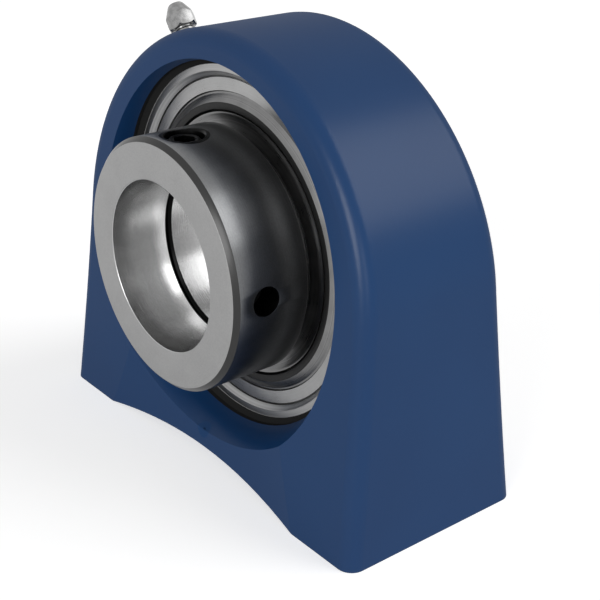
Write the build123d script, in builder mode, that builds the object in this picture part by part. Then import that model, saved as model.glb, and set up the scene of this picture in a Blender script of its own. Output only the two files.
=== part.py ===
from build123d import *
from math import acos, atan2, cos, hypot, pi, radians, sin, sqrt, tan
import os

# Pillow block with an insert bearing held on the shaft by an eccentric locking collar.
# Origin: on the shaft axis, in the middle plane of the spherical seat.
# X runs along the base, Y along the shaft (the collar is on the -Y side), Z is up.

# Housing
base_length = 102.6
base_width = 45.0
axis_height = 47.6
crown_height = 44.4
crown_radius = 48.0
crown_width = 30.0
face_bow = 0.8
rim_fillet = 3.3
foot_length = 17.3
arch_rise = 3.0
scoop_depth = 2.2
scoop_top = -28.0
scoop_taper = 15.0

# Housing seat and mouth
seat_clearance = 0.04
seat_width = 19.2
seat_chamfer = 1.0
land_radius = 37.1
recess_radius = 38.2
recess_depth = 12.6
mouth_flare = 1.2
mouth_flare_depth = 4.4
mouth_radius = 45.6
mouth_depth = 12.0
slot_clearance = 0.2

# Tapped mounting holes in the feet
bolt_edge = 10.0
tap_radius = 4.25
tap_depth = 20.0
tap_chamfer = 0.8
drill_point = 118.0

# Bearing insert
bore_radius = 17.5
outer_sphere_radius = 36.0
outer_width = 19.0
outer_corner = 0.4
inner_width = 25.4
inner_shoulder_radius = 23.3
outer_shoulder_radius = 30.2
bore_chamfer = 0.9
shoulder_chamfer = 0.4
ball_radius = 5.556
ball_count = 9
pitch_radius = 26.75
race_clearance = 0.02
race_conformity = 1.04
lube_offset = 5.7
lube_angle = 126.0
lube_hole_radius = 0.7
lube_groove_width = 4.6
lube_groove_offset = 4.3
lube_groove_radius = 37.2

# Cage
cage_inner_radius = 25.3
cage_outer_radius = 28.2
cage_back = 6.5
cage_front = 2.6
pocket_clearance = 0.12
claw_gap_width = 3.4
claw_gap_depth = 4.4

# Seals
seal_bore_radius = 31.7
seal_floor = 6.9
carrier_face = 9.2
carrier_thickness = 0.6
carrier_inner_radius = 29.45
carrier_dish = 1.0
lip_bond_gap = 0.1
lip_rim_radius = 28.0
lip_edge_gap = 0.3
lip_front = 7.5
lip_back = 6.75
lip_edge_thickness = 0.45
flinger_radius = 27.5
flinger_face = 9.4
flinger_rim = 9.1
flinger_dish = 0.6
flinger_thickness = 0.6
flinger_edge = 0.25

# Locking collar and its eccentric seat
collar_face = 29.5
collar_width = 17.2
collar_radius = 25.9
collar_chamfer = 1.15
collar_rear_chamfer = 0.4
collar_bore_chamfer = 0.7
collar_end_gap = 0.4
collar_rear_gap = 0.4
eccentric_radius = 21.6
eccentricity = 0.5
eccentric_clearance = 0.25
screw_offset = 22.5
screw_radius = 3.95
screw_clearance = 0.05
screw_sunk = 0.8
screw_retracted = 0.4
screw_socket = 4.0
screw_socket_depth = 4.0
screw_cup = 0.6
screw_hole_chamfer = 0.45
spanner_radius = 2.9
spanner_depth = 5.5

# Grease nipple
nipple_offset = 3.2
nipple_spotface_radius = 5.0
nipple_spotface_depth = 0.8
nipple_thread_radius = 2.45
nipple_thread_clearance = 0.05
nipple_thread_length = 5.5
nipple_feed_radius = 1.25
nipple_standoff = 3.6
nipple_hex = 5.7
nipple_hex_height = 2.4
nipple_hex_chamfer = 0.4
nipple_tip_radius = 1.75
nipple_tip_height = 5.7
nipple_tip_dome = 0.5
nipple_chamber_radius = 1.1
nipple_chamber_floor = 3.4
nipple_chamber_top = 8.4
nipple_mouth_radius = 0.7
nipple_passage_radius = 0.6
nipple_ball_radius = 1.0
nipple_ball_gap = 0.02
spring_wire_radius = 0.12
spring_radius = 0.75
spring_pitch = 1.1

os.makedirs("parts", exist_ok=True)

# Sizes that follow from the driving ones
half_length = base_length / 2
half_width = base_width / 2
half_crown = crown_width / 2
foot_gap = base_length - 2 * foot_length
scoop_top_width = foot_gap - scoop_taper
face_lean = atan2(half_width - half_crown, axis_height + crown_height)
face_chord = hypot(half_width - half_crown, axis_height + crown_height)
face_radius = face_chord**2 / (8 * face_bow) + face_bow / 2
face_centre_y = (half_width + half_crown) / 2 + (face_radius - face_bow) * cos(face_lean)
face_centre_z = (crown_height - axis_height) / 2 + (face_radius - face_bow) * sin(face_lean)
crown_centre = crown_height - crown_radius
corner_drop = axis_height + crown_centre
flank_angle = acos(crown_radius / hypot(half_length, corner_drop)) - atan2(corner_drop, half_length)
seat_radius = outer_sphere_radius + seat_clearance
half_seat = seat_width / 2
half_outer = outer_width / 2
race_radius = ball_radius * race_conformity
inner_front = inner_width - half_outer
collar_rear = collar_face - collar_width
shoulder_front = collar_rear - collar_rear_gap
collar_shoulder = inner_front + collar_end_gap
bolt_positions = [(bolt_edge - half_length, 0), (half_length - bolt_edge, 0)]


def face_offset(height):
    """Distance of the housing's front or rear face from the middle plane at a height."""
    return face_centre_y - sqrt(face_radius**2 - (height - face_centre_z) ** 2)


def groove_half_width(groove_bottom, shoulder, outward):
    """Half width of a raceway where its arc meets the shoulder."""
    centre = groove_bottom - race_radius if outward else groove_bottom + race_radius
    return sqrt(race_radius**2 - (shoulder - centre) ** 2)


# Housing: the outline seen along the shaft, cut to the tapering front and rear faces
with BuildPart() as housing:
    with BuildSketch(Plane.XZ):
        with BuildLine():
            tangent_x = crown_radius * cos(flank_angle)
            tangent_z = crown_centre + crown_radius * sin(flank_angle)
            Polyline(
                (tangent_x, tangent_z),
                (half_length, -axis_height),
                (foot_gap / 2, -axis_height),
            )
            ThreePointArc(
                (foot_gap / 2, -axis_height),
                (0, -axis_height + arch_rise),
                (-foot_gap / 2, -axis_height),
            )
            Polyline(
                (-foot_gap / 2, -axis_height),
                (-half_length, -axis_height),
                (-tangent_x, tangent_z),
            )
            ThreePointArc((-tangent_x, tangent_z), (0, crown_height), (tangent_x, tangent_z))
        make_face()
    extrude(amount=base_width, both=True)
    with BuildSketch(Plane.YZ):
        with BuildLine():
            profile_top = crown_height + rim_fillet
            Line((-half_width, -axis_height), (half_width, -axis_height))
            ThreePointArc(
                (half_width, -axis_height),
                (face_offset(0), 0),
                (face_offset(profile_top), profile_top),
            )
            Line(
                (face_offset(profile_top), profile_top),
                (-face_offset(profile_top), profile_top),
            )
            ThreePointArc(
                (-face_offset(profile_top), profile_top),
                (-face_offset(0), 0),
                (-half_width, -axis_height),
            )
        make_face()
    extrude(amount=base_length, both=True, mode=Mode.INTERSECT)
    rim = housing.edges().filter_by(
        lambda edge: abs(edge.center().Y) > half_crown / 2
        and edge.center().Z > -axis_height + 2 * arch_rise
    )
    fillet(rim, rim_fillet)

    # Scoops between the feet, front and rear, narrowing upwards
    for side in (-1, 1):
        for height, width in ((-axis_height - 1, foot_gap), (scoop_top, scoop_top_width)):
            face_y = face_offset(height)
            with BuildSketch(Plane.XY.offset(height)):
                with BuildLine():
                    Polyline(
                        (-width / 2, side * face_y),
                        (-width / 2, side * (half_width + scoop_depth)),
                        (width / 2, side * (half_width + scoop_depth)),
                        (width / 2, side * face_y),
                    )
                    ThreePointArc(
                        (width / 2, side * face_y),
                        (0, side * (face_y - scoop_depth)),
                        (-width / 2, side * face_y),
                    )
                make_face()
        loft(mode=Mode.SUBTRACT)

    # Spherical seat, its machined lands and the cast mouth on each side
    with BuildSketch(Plane.XY):
        with BuildLine():
            seat_edge = sqrt(seat_radius**2 - half_seat**2)
            land = half_seat + seat_chamfer
            land_corner = land + recess_radius - land_radius
            mouth_end = recess_depth + mouth_depth
            for side in (-1, 1):
                Polyline(
                    (seat_edge, side * half_seat),
                    (seat_edge + seat_chamfer, side * land),
                    (land_radius, side * land),
                    (recess_radius, side * land_corner),
                    (recess_radius, side * recess_depth),
                )
                ThreePointArc(
                    (recess_radius, side * recess_depth),
                    (recess_radius + mouth_flare, side * (recess_depth + mouth_flare_depth)),
                    (mouth_radius, side * mouth_end),
                )
                Line((mouth_radius, side * mouth_end), (0, side * mouth_end))
            ThreePointArc((seat_edge, -half_seat), (seat_radius, 0), (seat_edge, half_seat))
            Line((0, -mouth_end), (0, mouth_end))
        make_face()
    revolve(axis=Axis.Y, mode=Mode.SUBTRACT)

    # Loading slots at the rear, through which the insert goes in edgewise
    with BuildSketch(Plane.XZ):
        Circle(seat_radius)
        Rectangle(2 * seat_radius, outer_width + 2 * slot_clearance, mode=Mode.INTERSECT)
    extrude(amount=-half_width, mode=Mode.SUBTRACT)

    # Grease groove round the seat
    with BuildSketch(Plane.XY):
        with Locations((lube_groove_radius - seat_radius / 2, -lube_groove_offset)):
            Rectangle(seat_radius, lube_groove_width)
    revolve(axis=Axis.Y, mode=Mode.SUBTRACT)

    # Tapped holes in the feet
    with BuildSketch(Plane.XY.offset(-axis_height)):
        with Locations(*bolt_positions):
            Circle(tap_radius)
    extrude(amount=tap_depth, mode=Mode.SUBTRACT)
    point_height = tap_radius / tan(radians(drill_point / 2))
    with Locations(*[(x, y, -axis_height + tap_depth) for x, y in bolt_positions]):
        Cone(
            tap_radius,
            0,
            point_height,
            align=(Align.CENTER, Align.CENTER, Align.MIN),
            mode=Mode.SUBTRACT,
        )
    hole_mouths = housing.edges().filter_by(GeomType.CIRCLE).filter_by(
        lambda edge: abs(edge.radius - tap_radius) < 0.01 and abs(edge.center().Z + axis_height) < 0.01
    )
    chamfer(hole_mouths, tap_chamfer)

    # Spot face, thread and feed hole for the grease nipple
    crown_side = crown_centre * cos(radians(lube_angle))
    crown_reach = crown_centre * sin(radians(lube_angle)) + sqrt(crown_radius**2 - crown_side**2)
    spotface_reach = crown_reach - nipple_spotface_depth
    nipple_plane = Plane(
        origin=(
            spotface_reach * cos(radians(lube_angle)),
            -nipple_offset,
            spotface_reach * sin(radians(lube_angle)),
        ),
        x_dir=(0, -1, 0),
        z_dir=(cos(radians(lube_angle)), 0, sin(radians(lube_angle))),
    )
    nipple_hole_radius = nipple_thread_radius + nipple_thread_clearance
    with BuildSketch(nipple_plane):
        Circle(nipple_spotface_radius)
    extrude(amount=2 * nipple_spotface_radius, mode=Mode.SUBTRACT)
    with BuildSketch(nipple_plane):
        Circle(nipple_hole_radius)
    extrude(amount=-nipple_thread_length - nipple_hole_radius / 2, mode=Mode.SUBTRACT)
    with BuildSketch(nipple_plane):
        Circle(nipple_feed_radius)
    extrude(amount=seat_radius - spotface_reach, mode=Mode.SUBTRACT)

housing.part.label = "housing"
export_step(housing.part, "parts/housing.step")

# Outer ring with a sphered outside, a deep raceway, seal recesses and a lubrication hole
with BuildPart() as outer_ring:
    with BuildSketch(Plane.XY):
        with BuildLine():
            ring_edge = sqrt(outer_sphere_radius**2 - half_outer**2)
            groove_bottom = pitch_radius + ball_radius + race_clearance
            groove_edge = groove_half_width(groove_bottom, outer_shoulder_radius, True)
            ThreePointArc((ring_edge, -half_outer), (outer_sphere_radius, 0), (ring_edge, half_outer))
            for side in (-1, 1):
                Polyline(
                    (ring_edge, side * half_outer),
                    (seal_bore_radius, side * half_outer),
                    (seal_bore_radius, side * seal_floor),
                    (outer_shoulder_radius, side * seal_floor),
                    (outer_shoulder_radius, side * groove_edge),
                )
            ThreePointArc(
                (outer_shoulder_radius, -groove_edge),
                (groove_bottom, 0),
                (outer_shoulder_radius, groove_edge),
            )
        make_face()
    revolve(axis=Axis.Y)
    outer_corners = outer_ring.edges().filter_by(GeomType.CIRCLE).filter_by(
        lambda edge: abs(edge.radius - ring_edge) < 0.01
    )
    chamfer(outer_corners, outer_corner)
    lube_plane = Plane(
        origin=(0, -lube_offset, 0),
        x_dir=(0, -1, 0),
        z_dir=(cos(radians(lube_angle)), 0, sin(radians(lube_angle))),
    )
    with BuildSketch(lube_plane):
        Circle(lube_hole_radius)
    extrude(amount=outer_sphere_radius, mode=Mode.SUBTRACT)

outer_ring.part.label = "outer_ring"
export_step(outer_ring.part, "parts/outer_ring.step")

# Inner ring with a raceway and, on the collar side, an extension turned off centre
with BuildPart() as inner_ring:
    with BuildSketch(Plane.XY):
        with BuildLine():
            groove_bottom = pitch_radius - ball_radius - race_clearance
            groove_edge = groove_half_width(groove_bottom, inner_shoulder_radius, False)
            ThreePointArc(
                (inner_shoulder_radius, -groove_edge),
                (groove_bottom, 0),
                (inner_shoulder_radius, groove_edge),
            )
            Polyline(
                (inner_shoulder_radius, groove_edge),
                (inner_shoulder_radius, half_outer - shoulder_chamfer),
                (inner_shoulder_radius - shoulder_chamfer, half_outer),
                (bore_radius + bore_chamfer, half_outer),
                (bore_radius, half_outer - bore_chamfer),
                (bore_radius, -shoulder_front),
                (inner_shoulder_radius - shoulder_chamfer, -shoulder_front),
                (inner_shoulder_radius, -shoulder_front + shoulder_chamfer),
                (inner_shoulder_radius, -groove_edge),
            )
        make_face()
    revolve(axis=Axis.Y)
    with BuildSketch(Plane.XZ.offset(shoulder_front)):
        with Locations((0, eccentricity)):
            Circle(eccentric_radius)
        Circle(bore_radius, mode=Mode.SUBTRACT)
    extrude(amount=inner_front - shoulder_front)
    end_edges = inner_ring.edges().filter_by(GeomType.CIRCLE).filter_by(
        lambda edge: abs(edge.center().Y + inner_front) < 0.01
    )
    chamfer(end_edges.sort_by(lambda edge: edge.radius)[0], bore_chamfer)
    chamfer(end_edges.sort_by(lambda edge: edge.radius)[-1], shoulder_chamfer)

inner_ring.part.label = "inner_ring"
export_step(inner_ring.part, "parts/inner_ring.step")

# Balls, evenly spaced on the pitch circle
for number in range(ball_count):
    ball_angle = radians(90) + 2 * pi * number / ball_count
    with BuildPart() as ball:
        with Locations((pitch_radius * cos(ball_angle), 0, pitch_radius * sin(ball_angle))):
            Sphere(ball_radius)
    ball.part.label = f"ball_{number + 1}"
    export_step(ball.part, f"parts/ball_{number + 1}.step")

# Snap cage: a ring with spherical pockets open to the front and a slot between the claws
with BuildPart() as cage:
    with BuildSketch(Plane.XY):
        with Locations(((cage_inner_radius + cage_outer_radius) / 2, (cage_back - cage_front) / 2)):
            Rectangle(cage_outer_radius - cage_inner_radius, cage_back + cage_front)
    revolve(axis=Axis.Y)
    for number in range(ball_count):
        ball_angle = radians(90) + 2 * pi * number / ball_count
        with Locations((pitch_radius * cos(ball_angle), 0, pitch_radius * sin(ball_angle))):
            Sphere(ball_radius + pocket_clearance, mode=Mode.SUBTRACT)
        gap_angle = 90 + 360 * (number + 0.5) / ball_count
        gap_plane = Plane(
            origin=(0, -cage_front + claw_gap_depth / 2, 0),
            x_dir=(0, -1, 0),
            z_dir=(cos(radians(gap_angle)), 0, sin(radians(gap_angle))),
        )
        with BuildSketch(gap_plane):
            Rectangle(claw_gap_depth, claw_gap_width)
        extrude(amount=cage_outer_radius + pocket_clearance, mode=Mode.SUBTRACT)

cage.part.label = "cage"
export_step(cage.part, "parts/cage.step")

# Seals and flingers, the same on the front (-1) and the rear (1)
carrier_inner_face = carrier_face - carrier_dish
dish_slope = carrier_dish / (seal_bore_radius - carrier_thickness - carrier_inner_radius)
carrier_back = carrier_inner_face - carrier_thickness
lip_edge_radius = inner_shoulder_radius + lip_edge_gap
lip_outer_radius = outer_shoulder_radius - lip_bond_gap

for side, place in ((-1, "front"), (1, "rear")):
    with BuildPart() as seal_carrier:
        with BuildSketch(Plane.XY):
            with BuildLine():
                flange_radius = seal_bore_radius - carrier_thickness
                Polyline(
                    (seal_bore_radius, side * seal_floor),
                    (seal_bore_radius, side * carrier_face),
                    (flange_radius, side * carrier_face),
                    (carrier_inner_radius, side * carrier_inner_face),
                    (carrier_inner_radius, side * carrier_back),
                    (flange_radius, side * (carrier_face - carrier_thickness)),
                    (flange_radius, side * seal_floor),
                    close=True,
                )
            make_face()
        revolve(axis=Axis.Y)
    seal_carrier.part.label = f"seal_carrier_{place}"
    export_step(seal_carrier.part, f"parts/seal_carrier_{place}.step")

    with BuildPart() as seal_lip:
        with BuildSketch(Plane.XY):
            with BuildLine():
                bond_height = carrier_back + dish_slope * (lip_outer_radius - carrier_inner_radius)
                Polyline(
                    (carrier_inner_radius, side * carrier_inner_face),
                    (lip_rim_radius, side * carrier_inner_face),
                    (lip_rim_radius, side * lip_front),
                    (lip_edge_radius, side * (lip_back + lip_edge_thickness)),
                    (lip_edge_radius, side * lip_back),
                    (lip_outer_radius, side * lip_back),
                    (lip_outer_radius, side * bond_height),
                    (carrier_inner_radius, side * carrier_back),
                    close=True,
                )
            make_face()
        revolve(axis=Axis.Y)
    seal_lip.part.label = f"seal_lip_{place}"
    export_step(seal_lip.part, f"parts/seal_lip_{place}.step")

    with BuildPart() as flinger:
        with BuildSketch(Plane.XY):
            with BuildLine():
                inner_edge = (inner_shoulder_radius, side * (flinger_face - flinger_edge))
                face_edge = (inner_shoulder_radius + flinger_edge, side * flinger_face)
                rim_edge = (flinger_radius, side * flinger_rim)
                dish_radius = (inner_shoulder_radius + flinger_radius) / 2
                dish_front = min(flinger_face, flinger_rim) - flinger_dish
                back_rim = side * (flinger_rim - flinger_thickness)
                back_inner = side * (flinger_face - flinger_edge - flinger_thickness)
                Line(inner_edge, face_edge)
                ThreePointArc(face_edge, (dish_radius, side * dish_front), rim_edge)
                Line(rim_edge, (flinger_radius, back_rim))
                ThreePointArc(
                    (flinger_radius, back_rim),
                    (dish_radius, side * (dish_front - flinger_thickness)),
                    (inner_shoulder_radius, back_inner),
                )
                Line((inner_shoulder_radius, back_inner), inner_edge)
            make_face()
        revolve(axis=Axis.Y)
    flinger.part.label = f"flinger_{place}"
    export_step(flinger.part, f"parts/flinger_{place}.step")

# Locking collar: shaft bore, off-centre counterbore, set screw hole on top, spanner hole at +X
with BuildPart() as locking_collar:
    with BuildSketch(Plane.XY):
        with BuildLine():
            Polyline(
                (bore_radius, -collar_rear),
                (bore_radius, -collar_face + collar_bore_chamfer),
                (bore_radius + collar_bore_chamfer, -collar_face),
                (collar_radius - collar_chamfer, -collar_face),
                (collar_radius, -collar_face + collar_chamfer),
                (collar_radius, -collar_rear - collar_rear_chamfer),
                (collar_radius - collar_rear_chamfer, -collar_rear),
                close=True,
            )
        make_face()
    revolve(axis=Axis.Y)
    with BuildSketch(Plane.XZ.offset(collar_rear)):
        with Locations((0, eccentricity)):
            Circle(eccentric_radius + eccentric_clearance)
    extrude(amount=collar_shoulder - collar_rear, mode=Mode.SUBTRACT)
    screw_plane = Plane(origin=(0, -screw_offset, 0), x_dir=(1, 0, 0), z_dir=(0, 0, 1))
    with BuildSketch(screw_plane):
        Circle(screw_radius + screw_clearance)
    extrude(amount=collar_radius + collar_chamfer, mode=Mode.SUBTRACT)
    spanner_plane = Plane(
        origin=(collar_radius - spanner_depth, -screw_offset, 0),
        x_dir=(0, 1, 0),
        z_dir=(1, 0, 0),
    )
    with BuildSketch(spanner_plane):
        Circle(spanner_radius)
    extrude(amount=2 * spanner_depth, mode=Mode.SUBTRACT)
    screw_mouth_radius = screw_radius + screw_clearance + screw_hole_chamfer
    mouth_level = sqrt(collar_radius**2 - screw_mouth_radius**2)
    with Locations((0, -screw_offset, mouth_level)):
        Cone(
            screw_radius + screw_clearance,
            screw_mouth_radius + collar_radius - mouth_level,
            screw_hole_chamfer + collar_radius - mouth_level,
            align=(Align.CENTER, Align.CENTER, Align.MIN),
            mode=Mode.SUBTRACT,
        )

locking_collar.part.label = "locking_collar"
export_step(locking_collar.part, "parts/locking_collar.step")

# Cup point set screw with a hexagon socket
with BuildPart() as set_screw:
    screw_bottom = bore_radius + screw_retracted
    screw_length = collar_radius - screw_sunk - screw_bottom
    with Locations((0, -screw_offset, screw_bottom)):
        Cylinder(screw_radius, screw_length, align=(Align.CENTER, Align.CENTER, Align.MIN))
    chamfer(set_screw.edges().filter_by(GeomType.CIRCLE), screw_cup)
    socket_plane = Plane(
        origin=(0, -screw_offset, screw_bottom + screw_length), x_dir=(1, 0, 0), z_dir=(0, 0, 1)
    )
    with BuildSketch(socket_plane):
        RegularPolygon(screw_socket / 2, 6, major_radius=False)
    extrude(amount=-screw_socket_depth, mode=Mode.SUBTRACT)
    with Locations((0, -screw_offset, screw_bottom)):
        Cone(
            screw_radius - 2 * screw_cup,
            0,
            screw_radius - 2 * screw_cup,
            align=(Align.CENTER, Align.CENTER, Align.MIN),
            mode=Mode.SUBTRACT,
        )

set_screw.part.label = "set_screw"
export_step(set_screw.part, "parts/set_screw.step")

# Grease nipple body on its own axis: threaded shank and a hexagon tapering to a domed tip
nipple_axis = Axis(nipple_plane.origin, nipple_plane.z_dir)
nipple_section = Plane(nipple_plane.origin, nipple_plane.x_dir, -nipple_plane.y_dir)
nipple_top = nipple_standoff + nipple_tip_height
with BuildPart() as grease_nipple:
    with BuildSketch(nipple_plane.offset(nipple_standoff)):
        RegularPolygon(nipple_hex / 2, 6, major_radius=False)
    extrude(amount=nipple_tip_height)
    with BuildSketch(nipple_section):
        with BuildLine():
            hex_corner = nipple_hex / sqrt(3)
            dome_edge = (nipple_tip_radius, nipple_top - nipple_tip_dome)
            Polyline(
                (0, nipple_standoff),
                (hex_corner - nipple_hex_chamfer, nipple_standoff),
                (hex_corner, nipple_standoff + nipple_hex_chamfer),
                (hex_corner, nipple_standoff + nipple_hex_height),
                dome_edge,
            )
            RadiusArc(dome_edge, (nipple_mouth_radius, nipple_top), -nipple_tip_radius)
            Polyline((nipple_mouth_radius, nipple_top), (0, nipple_top), (0, nipple_standoff))
        make_face()
    revolve(axis=nipple_axis, mode=Mode.INTERSECT)
    with BuildSketch(nipple_plane.offset(-nipple_thread_length)):
        Circle(nipple_thread_radius)
    extrude(amount=nipple_thread_length + nipple_standoff)
    with BuildSketch(nipple_section):
        with BuildLine():
            Polyline(
                (0, -nipple_thread_length),
                (nipple_passage_radius, -nipple_thread_length),
                (nipple_passage_radius, nipple_chamber_floor),
                (nipple_chamber_radius, nipple_chamber_floor),
                (nipple_chamber_radius, nipple_chamber_top),
                (nipple_mouth_radius, nipple_chamber_top),
                (nipple_mouth_radius, nipple_top),
                (0, nipple_top),
                close=True,
            )
        make_face()
    revolve(axis=nipple_axis, mode=Mode.SUBTRACT)

grease_nipple.part.label = "grease_nipple"
export_step(grease_nipple.part, "parts/grease_nipple.step")

# Check ball under the nipple's mouth, and the spring below it
ball_drop = sqrt(nipple_ball_radius**2 - nipple_mouth_radius**2)
ball_height = nipple_chamber_top - ball_drop - nipple_ball_gap
with BuildPart() as nipple_ball:
    with Locations(nipple_plane.offset(ball_height)):
        Sphere(nipple_ball_radius)

nipple_ball.part.label = "nipple_ball"
export_step(nipple_ball.part, "parts/nipple_ball.step")

spring_floor = nipple_chamber_floor + spring_wire_radius
spring_contact = sqrt((nipple_ball_radius + spring_wire_radius) ** 2 - spring_radius**2)
spring_height = ball_height - spring_contact - nipple_ball_gap - spring_floor
with BuildPart() as nipple_spring:
    with BuildLine():
        coil = Helix(
            spring_pitch,
            spring_height,
            spring_radius,
            center=nipple_plane.offset(spring_floor).origin,
            direction=nipple_plane.z_dir,
        )
    with BuildSketch(Plane(origin=coil @ 0, z_dir=coil % 0)):
        Circle(spring_wire_radius)
    sweep(path=coil, is_frenet=True)

nipple_spring.part.label = "nipple_spring"
export_step(nipple_spring.part, "parts/nipple_spring.step")
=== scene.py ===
import bpy
import math
from mathutils import Matrix, Vector


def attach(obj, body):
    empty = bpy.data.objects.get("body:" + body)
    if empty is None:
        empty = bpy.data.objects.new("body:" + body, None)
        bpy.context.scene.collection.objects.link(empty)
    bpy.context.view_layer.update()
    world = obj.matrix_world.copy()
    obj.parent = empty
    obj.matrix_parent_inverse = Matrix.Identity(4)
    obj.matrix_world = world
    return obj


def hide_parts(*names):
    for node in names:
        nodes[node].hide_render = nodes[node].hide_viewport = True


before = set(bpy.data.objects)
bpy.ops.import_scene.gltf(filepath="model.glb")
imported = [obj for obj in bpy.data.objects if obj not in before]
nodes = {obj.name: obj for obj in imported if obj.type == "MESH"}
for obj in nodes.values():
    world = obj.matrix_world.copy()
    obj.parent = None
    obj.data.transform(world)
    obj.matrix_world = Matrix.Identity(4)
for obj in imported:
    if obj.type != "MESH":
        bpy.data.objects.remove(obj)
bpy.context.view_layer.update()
scene = bpy.context.scene
mm = 0.001


# Shader maths: a Wire is a socket that can be added, multiplied and compared
class Wire:
    def __init__(self, finish, socket):
        self.finish, self.socket = finish, socket

    def calc(self, operation, other=None, flipped=False):
        pair = [self] if other is None else [other, self] if flipped else [self, other]
        return self.finish.add("ShaderNodeMath", {"operation": operation}, dict(enumerate(pair)))

    def __add__(self, other):
        return self.calc("ADD", other)

    def __sub__(self, other):
        return self.calc("SUBTRACT", other)

    def __rsub__(self, other):
        return self.calc("SUBTRACT", other, True)

    def __mul__(self, other):
        return self.calc("MULTIPLY", other)

    def __pow__(self, other):
        return self.calc("POWER", other)

    def __gt__(self, other):
        return self.calc("GREATER_THAN", other)

    def __lt__(self, other):
        return self.calc("LESS_THAN", other)

    def __or__(self, other):
        return self.calc("MAXIMUM", other)

    def __abs__(self):
        return self.calc("ABSOLUTE")

    __radd__ = __add__
    __rmul__ = __mul__


# One material: fixed values go on the shader itself, add() makes every other node
class Finish:
    def __init__(self, name, **fixed):
        self.material = bpy.data.materials.new(name)
        self.material.use_nodes = True
        self.tree = self.material.node_tree
        self.shader = self.tree.nodes["Principled BSDF"]
        for socket, value in fixed.items():
            self.shader.inputs[socket.replace("_", " ")].default_value = value

    def add(self, kind, settings=None, inputs=None, output=0):
        node = self.tree.nodes.new(kind)
        for key, value in (settings or {}).items():
            setattr(node, key, value)
        for key, value in (inputs or {}).items():
            self.feed(node.inputs[key], value)
        return Wire(self, node.outputs[output])

    def feed(self, target, value):
        if isinstance(value, Wire):
            self.tree.links.new(value.socket, target)
        else:
            target.default_value = value

    def place(self):
        where = self.add("ShaderNodeTexCoord", output="Object")
        return where, [self.add("ShaderNodeSeparateXYZ", None, {0: where}, axis) for axis in "XYZ"]

    def noise(self, where, size, detail=3.0, rough=0.5):
        inputs = {"Vector": where, "Scale": 1 / size, "Detail": detail, "Roughness": rough}
        return self.add("ShaderNodeTexNoise", None, inputs)

    def lines(self, along, size, detail=2.0):
        inputs = {"W": along, "Scale": 1 / size, "Detail": detail}
        return self.add("ShaderNodeTexNoise", {"noise_dimensions": "1D"}, inputs)

    def ease(self, value, low, high):
        inputs = {"Value": value, "From Min": low, "From Max": high}
        return self.add("ShaderNodeMapRange", {"interpolation_type": "SMOOTHSTEP"}, inputs)

    def mix(self, factor, low, high):
        return self.add("ShaderNodeMix", {"data_type": "RGBA"}, {0: factor, 6: low, 7: high}, 2)

    def bump(self, height, depth, strength=1.0, normal=None):
        inputs = {"Height": height, "Distance": depth, "Strength": strength}
        if normal:
            inputs["Normal"] = normal
        return self.add("ShaderNodeBump", None, inputs)

    def near(self, place, centre, reach):
        # 1 round a point in millimetres, falling to 0 at the reach
        away = [c - k * mm for c, k in zip(place, centre)]
        distance = (away[0] * away[0] + away[1] * away[1] + away[2] * away[2]) ** 0.5
        return 1 - self.ease(distance, 0.8 * reach * mm, reach * mm)

    def flatWhere(self, mask):
        # the faces' own normals where the mask is 1, the smoothed ones elsewhere
        smooth = self.add("ShaderNodeNewGeometry", output="Normal")
        flat = self.add("ShaderNodeNewGeometry", output="True Normal")
        return self.add("ShaderNodeMix", {"data_type": "VECTOR"}, {0: mask, 4: smooth, 5: flat}, 1)

    def set(self, **sockets):
        for socket, value in sockets.items():
            self.feed(self.shader.inputs[socket.replace("_", " ")], value)
        return self.material


def colour(red, green, blue):
    # sRGB 0 to 255 as the linear colour that sockets take
    linear = [c / 3294.6 if c < 10.3 else ((c / 255 + 0.055) / 1.055) ** 2.4 for c in (red, green, blue)]
    return (*linear, 1.0)


def grey(tone, warmth=0):
    return colour(tone + warmth, tone, tone - warmth)


# Modelling helpers, all in millimetres
def closeUp():
    bpy.ops.mesh.select_all(action="SELECT")
    bpy.ops.mesh.remove_doubles(threshold=0.001 * mm)
    bpy.ops.mesh.fill_holes(sides=0)
    bpy.ops.mesh.select_all(action="SELECT")
    bpy.ops.mesh.normals_make_consistent(inside=False)
    bpy.ops.object.mode_set(mode="OBJECT")


def turned(name, profile, steps=128, solid=False):
    # a circle pulled from corner to corner of a profile of (radius, place along Y)
    bpy.ops.object.select_all(action="DESELECT")
    radius, along = profile[0]
    bpy.ops.mesh.primitive_circle_add(
        vertices=steps, radius=radius * mm, location=(0, along * mm, 0), rotation=(math.pi / 2, 0, 0)
    )
    piece = bpy.context.object
    piece.name = name
    bpy.ops.object.transform_apply()
    bpy.ops.object.mode_set(mode="EDIT")
    bpy.ops.mesh.select_all(action="SELECT")
    for nextRadius, nextAlong in profile[1:] + ([] if solid else profile[:1]):
        grow = nextRadius / radius
        bpy.ops.mesh.extrude_region_move(TRANSFORM_OT_translate={"value": (0, (nextAlong - along) * mm, 0)})
        bpy.ops.transform.resize(value=(grow, 1, grow), center_override=(0, nextAlong * mm, 0))
        radius, along = nextRadius, nextAlong
    closeUp()
    return piece


def rod(radius, length, middle, direction, sides=48, tip=None):
    # a straight or tapered rod along a direction, mostly to cut with
    bpy.ops.object.select_all(action="DESELECT")
    turn = Vector(direction).to_track_quat("Z", "Y").to_euler()
    bpy.ops.mesh.primitive_cone_add(
        vertices=sides, radius1=radius * mm, radius2=(radius if tip is None else tip) * mm,
        depth=length * mm, location=[c * mm for c in middle], rotation=turn,
    )
    piece = bpy.context.object
    bpy.ops.object.transform_apply()
    return piece


def pick(piece):
    bpy.ops.object.select_all(action="DESELECT")
    piece.select_set(True)
    bpy.context.view_layer.objects.active = piece


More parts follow.
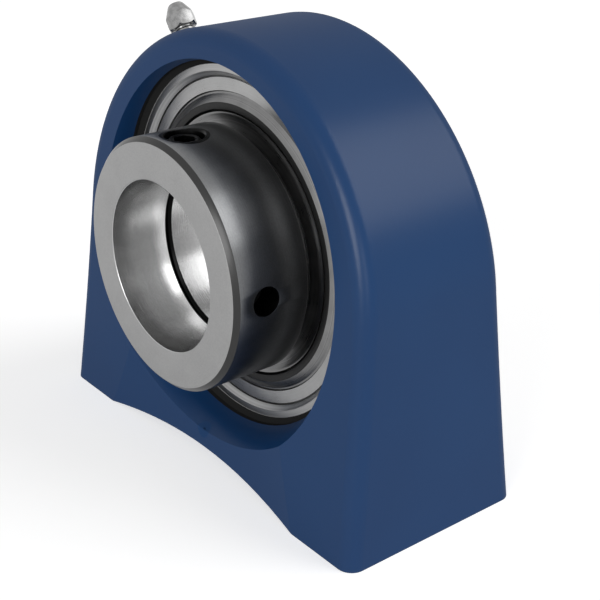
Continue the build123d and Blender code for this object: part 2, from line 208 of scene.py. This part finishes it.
def carve(piece, tool, operation="DIFFERENCE"):
    pick(piece)
    cut = piece.modifiers.new("cut", "BOOLEAN")
    cut.operation, cut.object, cut.solver = operation, tool, "EXACT"
    bpy.ops.object.modifier_apply(modifier=cut.name)
    bpy.data.objects.remove(tool)


def soften(piece, width, angle=30, rounds=2):
    pick(piece)
    edge = piece.modifiers.new("edge", "BEVEL")
    edge.width, edge.segments = width * mm, rounds
    edge.limit_method, edge.angle_limit = "ANGLE", math.radians(angle)
    bpy.ops.object.modifier_apply(modifier=edge.name)


def moveTo(piece, matrix):
    pick(piece)
    piece.matrix_world = matrix
    bpy.ops.object.transform_apply()


def windThread(core, crest, pitch, turns, steps=28):
    # one tooth between two radii, wound up along Z
    bpy.ops.object.select_all(action="DESELECT")
    middle = (core + crest) / 2 * mm
    bpy.ops.mesh.primitive_plane_add(size=1, location=(middle, 0, 0), rotation=(math.pi / 2, 0, 0))
    thread = bpy.context.object
    thread.scale = (abs(crest - core) * mm, 0.88 * pitch * mm, 1)
    bpy.ops.object.transform_apply()
    atCrest = [(v.co.x > middle) == (crest > core) for v in thread.data.vertices]
    bpy.ops.object.mode_set(mode="EDIT")
    bpy.ops.mesh.select_all(action="DESELECT")
    bpy.ops.object.mode_set(mode="OBJECT")
    for vertex, chosen in zip(thread.data.vertices, atCrest):
        vertex.select = chosen
    bpy.ops.object.mode_set(mode="EDIT")
    bpy.ops.transform.resize(value=(1, 1, 0.16), center_override=(crest * mm, 0, 0))
    bpy.ops.mesh.select_all(action="SELECT")
    bpy.ops.mesh.delete(type="ONLY_FACE")
    bpy.ops.object.mode_set(mode="OBJECT")
    wind = thread.modifiers.new("wind", "SCREW")
    wind.steps = wind.render_steps = steps
    wind.screw_offset, wind.iterations = pitch * mm, turns
    bpy.ops.object.modifier_apply(modifier=wind.name)
    bpy.ops.object.mode_set(mode="EDIT")
    closeUp()
    return thread


def weld(piece, *others):
    pick(piece)
    for other in others:
        other.select_set(True)
    bpy.ops.object.join()
    return piece


def settle(piece, body, material, *replaced, smooth=28):
    pick(piece)
    bpy.ops.object.shade_smooth_by_angle(angle=math.radians(smooth))
    piece.data.materials.clear()
    piece.data.materials.append(material)
    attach(piece, body)
    if replaced:
        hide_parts(*replaced)
    return piece


def dress(node, material):
    slots = nodes[node].data.materials
    slots.clear()
    slots.append(material)


# Camera
view = {"lens": 74.70, "place": (192.56 * mm, -149.84 * mm, 97.39 * mm), "turn": (65.193, -0.594, 51.202)}
lens = bpy.data.cameras.new("camera")
lens.lens, lens.clip_start = view["lens"], 0.01
camera = bpy.data.objects.new("camera", lens)
scene.collection.objects.link(camera)
camera.location = view["place"]
camera.rotation_euler = [math.radians(a) for a in view["turn"]]
scene.camera = camera

# Housing: satin paint over the casting, bare metal wherever it is machined
housing = {
    "paint": (22, 66, 115), "paintDeep": (16, 57, 104), "paintDrift": 30.0, "paintRough": 0.5,
    "coat": 0.2, "coatRough": 0.3, "coatGloss": 2.0,
    "castGrain": 1.6, "castSwell": 9.0, "grainHeight": 0.05,
    "metal": (126, 186), "metalRough": 0.26, "markSpacing": 0.12,
    # the recess wall round the seat is painted near black: painted shade
    "seatRadius": 38.25, "landRadius": 37.15, "seatDepth": 12.65, "recessShadeTone": 46,
    "base": -47.55, "holeX": 41.3, "holeRadius": 5.1, "holeTop": -25.0,
    "spotCentre": (-26.0, -3.2, 35.79), "spotAngle": 126.0, "spotRadius": 5.03, "spotDepth": 0.1,
    # a kink in the smoothing at the bottom of the mouth, where the paint is shown without gloss and made
    # lighter: a painted sheen in place of the gloss
    "kink": (-0.56, -19.56, -40.73), "kinkReach": 2.2, "kinkPaintedSheen": (48, 78, 122),
}


def housingPaint():
    gloss = {"Coat_IOR": housing["coatGloss"], "Coat_Roughness": housing["coatRough"]}
    paint = Finish("housingPaint", Specular_IOR_Level=0.0, **gloss)
    where, (x, y, z) = paint.place()
    radius = (x * x + z * z) ** 0.5
    grain = paint.noise(where, housing["castGrain"] * mm, 4.0, 0.55)
    swell = paint.noise(where, housing["castSwell"] * mm, 2.0)
    drift = paint.noise(where, housing["paintDrift"] * mm, 2.0)

    # the seat with its grease groove, the tapped holes, and the spot face under the nipple
    inSeat = (radius < housing["seatRadius"] * mm) * (abs(y) < housing["seatDepth"] * mm)
    holeX, holeTop = abs(x) - housing["holeX"] * mm, housing["holeTop"] * mm
    inHole = ((holeX * holeX + y * y) ** 0.5 < housing["holeRadius"] * mm) * (z < holeTop)
    angle = math.radians(housing["spotAngle"])
    dx, dy, dz = [c - k * mm for c, k in zip((x, y, z), housing["spotCentre"])]
    up = dx * math.cos(angle) + dz * math.sin(angle)
    aside = (dx * dx + dy * dy + dz * dz - up * up) ** 0.5
    onSpot = (aside < housing["spotRadius"] * mm) * (abs(up) < housing["spotDepth"] * mm)
    bare = inSeat | inHole | onSpot | (z < housing["base"] * mm)
    inRecess = inSeat * (radius > housing["landRadius"] * mm)
    bare = bare * (1 - inRecess)
    kink = paint.near((x, y, z), housing["kink"], housing["kinkReach"])

    marks = paint.lines(radius + 0.7 * y, housing["markSpacing"] * mm)
    metal = paint.mix(marks, *[grey(t) for t in housing["metal"]])
    shade = paint.mix(drift, colour(*housing["paintDeep"]), colour(*housing["paint"]))
    # painted shade: the recess wall round the seat in a near-black grey
    shade = paint.mix(inRecess, shade, grey(housing["recessShadeTone"]))
    # painted sheen: the kink's paint made lighter where its gloss is left out
    shade = paint.mix(kink, shade, colour(*housing["kinkPaintedSheen"]))
    height = (grain * 0.6 + swell) * (1 - bare) + marks * bare * 0.12
    paintRough = grain * 0.14 + housing["paintRough"] - 0.07
    metalRough = marks * 0.12 + housing["metalRough"]
    return paint.set(
        Base_Color=paint.mix(bare, shade, metal),
        Metallic=bare,
        Roughness=paintRough * (1 - bare) + metalRough * bare,
        Coat_Weight=(1 - (bare | inRecess | kink)) * housing["coat"],
        Normal=paint.bump(height, housing["grainHeight"] * mm, normal=paint.flatWhere(kink)),
    )


dress("housing", housingPaint())


# Steel that is turned round the shaft: fine marks across faces and along cylinders
steels = {
    # name: darkest and lightest tone, roughness, then the spacing of the marks and their height in mm
    "ringSteel": (148, 166, 0.3, 0.1, 0.008),
    "ballSteel": (196, 206, 0.1, 0.4, 0.0),
    "sheetSteel": (112, 132, 0.3, 0.25, 0.008),
    "innerSteel": (168, 190, 0.26, 0.1, 0.008),
}
# the end of the inner ring that the collar's pocket keeps dark
pocketShade = {"end": -14.9, "radius": 18.5, "tone": 14}


def turnedSteel(name, dark, light, roughness, grain=0.1, bumpDepth=0.008, shaded=None):
    steel = Finish(name, Metallic=1.0)
    where, (x, y, z) = steel.place()
    radius = (x * x + z * z) ** 0.5
    marks = steel.lines(radius + 0.8 * y, grain * mm)
    cloud = steel.noise(where, 5 * mm, 3.0)
    tone = steel.ease(marks * 0.55 + cloud * 0.45, 0.32, 0.68)
    base = steel.mix(tone, grey(dark), grey(light))
    if shaded:
        inShade = (y < shaded["end"] * mm) * (radius < shaded["radius"] * mm)
        base = steel.mix(inShade, base, grey(shaded["tone"]))
    return steel.set(
        Base_Color=base,
        Roughness=cloud * 0.1 + marks * 0.08 + roughness - 0.09,
        Normal=steel.bump(marks, bumpDepth * mm, 0.6),
    )


ringSteel = turnedSteel("ringSteel", *steels["ringSteel"])
ballSteel = turnedSteel("ballSteel", *steels["ballSteel"])
sheetSteel = turnedSteel("sheetSteel", *steels["sheetSteel"])
dress("outer_ring", ringSteel)
dress("inner_ring", turnedSteel("innerSteel", *steels["innerSteel"], pocketShade))
for name in ("nipple_ball", *[f"ball_{i}" for i in range(1, 10)]):
    dress(name, ballSteel)


def moulded(name, dark, light, roughness, grain):
    # rubber and moulded nylon: matt, with a fine grain and faint flow marks
    stuff = Finish(name, Specular_IOR_Level=0.35)
    where, (x, y, z) = stuff.place()
    cloud = stuff.noise(where, 4 * mm, 3.0)
    pores = stuff.noise(where, grain * mm, 2.0)
    return stuff.set(
        Base_Color=stuff.mix(cloud, grey(dark), grey(light)),
        Roughness=pores * 0.2 + roughness - 0.1,
        Normal=stuff.bump(pores, 0.01 * mm),
    )


sealRubber = moulded("sealRubber", 13, 19, 0.55, 0.25)
dress("cage", moulded("cageNylon", 34, 44, 0.45, 0.4))
print("frame finishes done")

# Locking collar: steel with a ground end face and a bright bore, its outside darker and faintly blue as painted
# reflection
collar = {
    "bore": 17.5, "boreChamfer": 0.15, "face": -29.5, "rear": -12.3,
    "radius": 25.9, "chamfer": 1.0, "rearChamfer": 0.4, "softEdge": 0.09,
    "boreRings": (-20.0, -25.0), "sideRings": (-24.5, -20.0),
    "pocketRadius": 21.85, "pocketOffset": 0.5, "pocketEnd": -16.3,
    "holesAlong": -22.5, "screwHole": 4.0, "screwMouth": 4.84,
    "screwMouthFoot": 25.515, "screwMouthDepth": 0.84,
    "spannerHole": 2.9, "spannerFloor": 20.4, "holesFrom": 18.0,
    # the outside's tones are darker and faintly blue: painted reflection of dark and blue surroundings
    "faceTone": (146, 160), "boreTone": (184, 208), "sideReflectionTone": (110, 128),
    # the chamfer, the screw and spanner holes and the pocket's groove are painted shade
    "edgeShadeTone": 62, "holeShadeTone": 26, "grooveShadeTone": 14, "grooveRadius": 18.6,
    "faceMarks": 0.07, "sideMarks": 0.11, "markHeight": 0.012,
}


def collarSteel():
    steel = Finish("collarSteel", Metallic=1.0)
    where, (x, y, z) = steel.place()
    radius = (x * x + z * z) ** 0.5
    faceEdge = collar["radius"] - collar["chamfer"]
    edgeEnd = collar["face"] + collar["chamfer"]
    onFace = (y < (collar["face"] + 0.06) * mm) * (radius < (faceEdge + 0.03) * mm)
    inBore = radius < (collar["bore"] + 0.06) * mm
    onEdge = (1 - onFace) * (radius > faceEdge * mm) * (y < (edgeEnd + 0.02) * mm)
    inGroove = (radius < collar["grooveRadius"] * mm) * (y > (collar["pocketEnd"] - 0.25) * mm)
    along = y - collar["holesAlong"] * mm
    fromScrew = (x * x + along * along) ** 0.5
    fromSpanner = (z * z + along * along) ** 0.5
    inScrewHole = (fromScrew < (collar["screwMouth"] + 0.1) * mm) * (z > collar["holesFrom"] * mm)
    inSpannerHole = (fromSpanner < (collar["spannerHole"] + 0.12) * mm) * (x > collar["holesFrom"] * mm)
    faceMarks = steel.lines(radius, collar["faceMarks"] * mm)
    sideMarks = steel.lines(y, collar["sideMarks"] * mm)
    marks = faceMarks * onFace + sideMarks * (1 - onFace)
    cloud = steel.noise(where, 6 * mm, 3.0)
    speck = steel.noise(where, 0.35 * mm, 2.0)
    tone = steel.ease(marks * 0.5 + cloud * 0.25 + speck * 0.25, 0.34, 0.66)
    face = steel.mix(tone, *[grey(t) for t in collar["faceTone"]])
    bore = steel.mix(tone, *[grey(t) for t in collar["boreTone"]])
    # painted reflection: the outside darker than the face and faintly blue
    side = steel.mix(tone, *[grey(t, -1) for t in collar["sideReflectionTone"]])
    # painted shade on the chamfer at the face's edge
    side = steel.mix(onEdge, side, grey(collar["edgeShadeTone"]))
    outside = steel.mix(inBore, steel.mix(onFace, side, face), bore)
    # painted shade in the screw hole and the spanner hole
    outside = steel.mix(inScrewHole | inSpannerHole, outside, grey(collar["holeShadeTone"]))
    return steel.set(
        # painted shade: near black in the groove at the pocket's end
        Base_Color=steel.mix(inGroove, outside, grey(collar["grooveShadeTone"])),
        Roughness=onFace * 0.16 + inBore * -0.08 + marks * 0.08 + cloud * 0.08 + 0.24,
        Normal=steel.bump(marks, collar["markHeight"] * mm, 0.6),
    )


def makeCollar():
    c = collar
    piece = turned("lockingCollar", [
        (c["bore"], c["rear"]), *[(c["bore"], y) for y in c["boreRings"]],
        (c["bore"], c["face"] + c["boreChamfer"]), (c["bore"] + c["boreChamfer"], c["face"]),
        (c["radius"] - c["chamfer"], c["face"]), (c["radius"], c["face"] + c["chamfer"]),
        *[(c["radius"], y) for y in c["sideRings"]],
        (c["radius"], c["rear"] - c["rearChamfer"]), (c["radius"] - c["rearChamfer"], c["rear"]),
    ], steps=160)
    depth = c["rear"] - c["pocketEnd"]
    pocket = (0, c["pocketEnd"] + depth / 2 + 1, c["pocketOffset"])
    carve(piece, rod(c["pocketRadius"], depth + 2, pocket, (0, 1, 0), 160))
    carve(piece, rod(c["screwHole"], 14, (0, c["holesAlong"], 22), (0, 0, 1), 56))
    mouth = (0, c["holesAlong"], c["screwMouthFoot"] + c["screwMouthDepth"] / 2)
    carve(piece, rod(c["screwHole"], c["screwMouthDepth"], mouth, (0, 0, 1), 56, c["screwMouth"]))
    carve(piece, rod(c["spannerHole"], 8, (c["spannerFloor"] + 4, c["holesAlong"], 0), (1, 0, 0), 40))
    soften(piece, c["softEdge"], 25)
    return settle(piece, "collar", collarSteel(), "locking_collar")


makeCollar()
print("locking collar done")

# Set screw in the collar: hexagon socket, cup point and M8 thread
setScrew = {
    "along": -22.5, "foot": 17.9, "length": 7.2, "core": 3.4, "crest": 3.94,
    "pitch": 1.25, "turns": 5, "threadFoot": 0.55,
    "socket": 4.0, "socketDepth": 4.0, "cup": 2.0, "cupDepth": 0.9, "pointRadius": 2.7, "pointHeight": 0.6,
    "endChamfer": 0.5, "softEdge": 0.06, "tone": (24, 34), "rough": 0.34, "markSpacing": 0.2,
}


def makeSetScrew():
    s = setScrew
    top = s["length"]
    piece = turned("setScrew", [
        (0.1, s["cupDepth"]), (s["cup"], 0.0), (s["pointRadius"], 0.0), (s["core"], s["pointHeight"]),
        (s["core"], top - s["endChamfer"]), (s["core"] - s["endChamfer"], top),
        (s["socket"] * 0.62, top), (s["socket"] * 0.58, top - 0.12),
    ], steps=56, solid=True)
    moveTo(piece, Matrix.Rotation(math.pi / 2, 4, "X"))
    middle = (0, 0, top - s["socketDepth"] / 2 + 0.5)
    carve(piece, rod(s["socket"] / math.sqrt(3), s["socketDepth"] + 1, middle, (0, 0, 1), 6))
    thread = windThread(s["core"] - 0.05, s["crest"], s["pitch"], s["turns"])
    moveTo(thread, Matrix.Translation((0, 0, s["threadFoot"] * mm)))
    soften(piece, s["softEdge"], 30, 1)
    weld(piece, thread)
    moveTo(piece, Matrix.Translation((0, s["along"] * mm, s["foot"] * mm)))
    blackOxide = turnedSteel("blackOxide", *s["tone"], s["rough"], s["markSpacing"])
    return settle(piece, "screw", blackOxide, "set_screw")


makeSetScrew()
print("set screw done")

# Grease nipple: plated steel, a hexagon that tapers to a domed tip over a threaded shank
nipple = {
    "foot": (-26.004, -3.2, 35.792), "angle": 126.0, "standoff": 3.6, "height": 5.7,
    "hexagon": 5.7, "hexTurn": 12.0, "hexChamfer": 0.4, "hexHeight": 2.4,
    "tip": 1.75, "taper": 1.1, "dome": 0.5, "mouth": 0.7, "mouthDepth": 0.9,
    "shank": 2.42, "shankCore": 2.1, "shankLength": 5.5, "pitch": 0.8, "turns": 6, "threadFoot": -5.2,
    "chamber": 1.1, "chamberFloor": 3.4, "passage": 0.6, "softEdge": 0.07, "tone": (132, 152),
}


def makeNipple(finish):
    n = nipple
    corner, top = n["hexagon"] / math.sqrt(3), n["standoff"] + n["height"]
    piece = turned("greaseNipple", [
        (corner - n["hexChamfer"], n["standoff"]), (corner + 0.02, n["standoff"] + n["hexChamfer"]),
        (corner + 0.02, n["standoff"] + n["hexHeight"]), (n["tip"] + 0.35, top - n["taper"]),
        (n["tip"], top - n["dome"]), (n["tip"] * 0.82, top - 0.2),
        (n["mouth"] + 0.2, top - 0.02), (n["mouth"], top - 0.1),
    ], steps=64, solid=True)
    hexagon = rod(corner, n["height"] + 1, (0, n["standoff"] + n["height"] / 2, 0), (0, 1, 0), 6)
    moveTo(hexagon, Matrix.Rotation(math.radians(n["hexTurn"]), 4, "Y"))
    carve(piece, hexagon, "INTERSECT")
    shank = turned("shank", [
        (n["shankCore"] - 0.3, -n["shankLength"]), (n["shankCore"], 0.4 - n["shankLength"]),
        (n["shankCore"], -0.3), (n["shank"], 0.1), (n["shank"], n["standoff"] - 0.7),
        (n["shankCore"] - 0.1, n["standoff"] - 0.35), (n["shankCore"] - 0.1, n["standoff"] + 0.3),
    ], steps=64, solid=True)
    carve(piece, shank, "UNION")
    carve(piece, turned("channel", [
        (n["passage"], -n["shankLength"] - 1), (n["passage"], n["chamberFloor"]),
        (n["chamber"], n["chamberFloor"]), (n["chamber"], top - n["mouthDepth"]),
        (n["mouth"], top - n["mouthDepth"]), (n["mouth"], top + 1),
    ], steps=40, solid=True))
    soften(piece, n["softEdge"], 24)
    thread = windThread(n["shankCore"] - 0.05, n["shank"], n["pitch"], n["turns"])
    upright = Matrix.Rotation(-math.pi / 2, 4, "X")
    moveTo(thread, Matrix.Translation((0, n["threadFoot"] * mm, 0)) @ upright)
    weld(piece, thread)
    angle = math.radians(n["angle"])
    lean = Vector((0, 1, 0)).rotation_difference(Vector((math.cos(angle), 0, math.sin(angle))))
    moveTo(piece, Matrix.Translation([c * mm for c in n["foot"]]) @ lean.to_matrix().to_4x4())
    return settle(piece, "base", finish, "grease_nipple")


def zincPlate():
    plate = Finish("zincPlate", Metallic=1.0)
    where, (x, y, z) = plate.place()
    cloud = plate.noise(where, 1.2 * mm, 3.0)
    fine = plate.noise(where, 0.2 * mm, 2.0)
    return plate.set(
        Base_Color=plate.mix(plate.ease(cloud, 0.35, 0.65), *[grey(t) for t in nipple["tone"]]),
        Roughness=cloud * 0.12 + 0.16,
        Normal=plate.bump(fine, 0.004 * mm),
    )


zinc = zincPlate()
makeNipple(zinc)
dress("nipple_spring", zinc)
print("grease nipple done")

# Seals at the front and the rear: pressed carrier, bonded rubber lip and flinger on the inner ring
seal = {
    "bore": 31.7, "floor": 6.9, "face": 9.2, "sheet": 0.6, "rounding": 0.25,
    "mouth": 29.45, "proud": {"Front": 1.1, "Rear": -1.0}, "softEdge": 0.1,
    "lipOuter": 30.1, "lipBond": 7.99, "lipRim": 28.0, "lipFront": 7.5, "lipBend": 26.0,
    "lipEdge": 23.6, "lipBack": 6.75, "lipThin": 0.45, "lipSoftEdge": 0.08,
}
flinger = {
    "inner": 23.3, "rim": 27.5, "face": 9.4, "rimFace": 9.1, "dish": 0.45, "sheet": 0.6,
    "edge": 0.25, "softEdge": 0.08, "points": 9, "proud": {"Front": 0.9, "Rear": 0.0},
}


def makeSeal(side, end):
    s = seal
    inner = s["face"] + s["proud"][end]
    back = inner - s["sheet"]
    carrier = turned(f"sealCarrier{end}", [(r, side * y) for r, y in (
        (s["bore"], s["floor"]), (s["bore"], s["face"] - s["rounding"]), (s["bore"] - s["rounding"], s["face"]),
        (s["bore"] - s["sheet"], s["face"]), (s["mouth"], inner), (s["mouth"], back),
        (s["bore"] - s["sheet"], s["face"] - s["sheet"]), (s["bore"] - s["sheet"], s["floor"]),
    )])
    soften(carrier, s["softEdge"], 20)
    settle(carrier, "outer", sheetSteel, f"seal_carrier_{end.lower()}")
    lip = turned(f"sealLip{end}", [(r, side * y) for r, y in (
        (s["mouth"], inner), (s["lipRim"], inner - 0.1), (s["lipRim"] - 0.05, s["lipFront"]),
        (s["lipBend"], s["lipFront"] - 0.15), (s["lipEdge"], s["lipBack"] + s["lipThin"]),
        (s["lipEdge"], s["lipBack"]), (s["lipOuter"], s["lipBack"]),
        (s["lipOuter"], s["lipBond"]), (s["mouth"], back),
    )])
    soften(lip, s["lipSoftEdge"], 20)
    settle(lip, "outer", sealRubber, f"seal_lip_{end.lower()}")


def makeFlinger(side, end):
    f = flinger
    start, drop = f["inner"] + f["edge"], f["rimFace"] - f["face"]
    front = []
    for i in range(f["points"]):
        t = i / (f["points"] - 1)
        dish = 4 * f["dish"] * t * (1 - t)
        front.append((start + (f["rim"] - start) * t, f["face"] + drop * t - dish))
    rear = [(r, y - f["sheet"]) for r, y in reversed(front[1:])]
    foot = f["face"] - f["edge"]
    profile = [(f["inner"], foot), *front, *rear, (f["inner"], foot - f["sheet"])]
    piece = turned(f"flinger{end}", [(r, side * (y + f["proud"][end])) for r, y in profile])
    soften(piece, f["softEdge"], 40)
    settle(piece, "inner", sheetSteel, f"flinger_{end.lower()}")


for side, end in ((-1, "Front"), (1, "Rear")):
    makeSeal(side, end)
    makeFlinger(side, end)
print("seals and flingers done")

# M10 threads in the feet
tapped = {"holeX": 41.3, "foot": -46.6, "wall": 4.27, "crest": 3.92, "pitch": 1.5, "turns": 12}


def makeThreads():
    for end, x in (("Left", -tapped["holeX"]), ("Right", tapped["holeX"])):
        thread = windThread(tapped["wall"], tapped["crest"], tapped["pitch"], tapped["turns"])
        thread.name = f"tappedThread{end}"
        moveTo(thread, Matrix.Translation((x * mm, 0, tapped["foot"] * mm)))
        settle(thread, "base", ringSteel)


makeThreads()
print("threads done")

# Floor, world and lamps: a plain pale studio
stand = {"level": -47.65, "metres": 6.0, "paper": 0.85, "glow": 0.6, "ambient": 0.22}
lamps = {
    # name: turn round the object, height angle, watts per square metre, apparent size; angles in degrees
    "key": (134.0, 40.0, 1.15, 44.0),
    "front": (20.0, 16.0, 1.1, 30.0),
    "side": (62.0, 12.0, 0.22, 24.0),
}


def seenPlainly(tree):
    # 1 for the camera, reflections and what is seen through glass
    path = tree.nodes.new("ShaderNodeLightPath")
    seen = path.outputs["Is Camera Ray"]
    for ray in ("Is Glossy Ray", "Is Transmission Ray"):
        either = tree.nodes.new("ShaderNodeMath")
        either.operation = "MAXIMUM"
        tree.links.new(seen, either.inputs[0])
        tree.links.new(path.outputs[ray], either.inputs[1])
        seen = either.outputs[0]
    return seen


def scaled(tree, socket, factor, offset=0.0):
    node = tree.nodes.new("ShaderNodeMath")
    node.operation = "MULTIPLY_ADD"
    tree.links.new(socket, node.inputs[0])
    node.inputs[1].default_value, node.inputs[2].default_value = factor, offset
    return node.outputs[0]


def makeWorld():
    world = bpy.data.worlds.new("studio")
    scene.world = world
    world.use_nodes = True
    tree = world.node_tree
    light = tree.nodes["Background"]
    light.inputs["Color"].default_value = (1, 1, 1, 1)
    strength = scaled(tree, seenPlainly(tree), 1 - stand["ambient"], stand["ambient"])
    tree.links.new(strength, light.inputs["Strength"])


def makeFloor():
    bpy.ops.object.select_all(action="DESELECT")
    bpy.ops.mesh.primitive_plane_add(size=stand["metres"], location=(0, 0, stand["level"] * mm))
    floor = bpy.context.object
    floor.name = "floor"
    bpy.ops.object.transform_apply()
    paper = Finish("paper", Roughness=1.0, Specular_IOR_Level=0.0)
    paper.set(Base_Color=(stand["paper"], stand["paper"], stand["paper"], 1))
    tree = paper.tree
    paper.shader.inputs["Emission Color"].default_value = (1, 1, 1, 1)
    glow = scaled(tree, seenPlainly(tree), stand["glow"])
    tree.links.new(glow, paper.shader.inputs["Emission Strength"])
    floor.data.materials.append(paper.material)


def makeLamps():
    for name, (turn, height, strength, size) in lamps.items():
        turn, height = math.radians(turn), math.radians(height)
        lamp = bpy.data.lights.new(name, "SUN")
        lamp.energy, lamp.angle = strength, math.radians(size)
        holder = bpy.data.objects.new(name, lamp)
        scene.collection.objects.link(holder)
        level = math.cos(height)
        toLamp = Vector((level * math.sin(turn), -level * math.cos(turn), math.sin(height)))
        holder.rotation_euler = (-toLamp).to_track_quat("-Z", "Y").to_euler()


makeWorld()
makeFloor()
makeLamps()
scene.view_settings.view_transform = "Standard"
print("stage done")
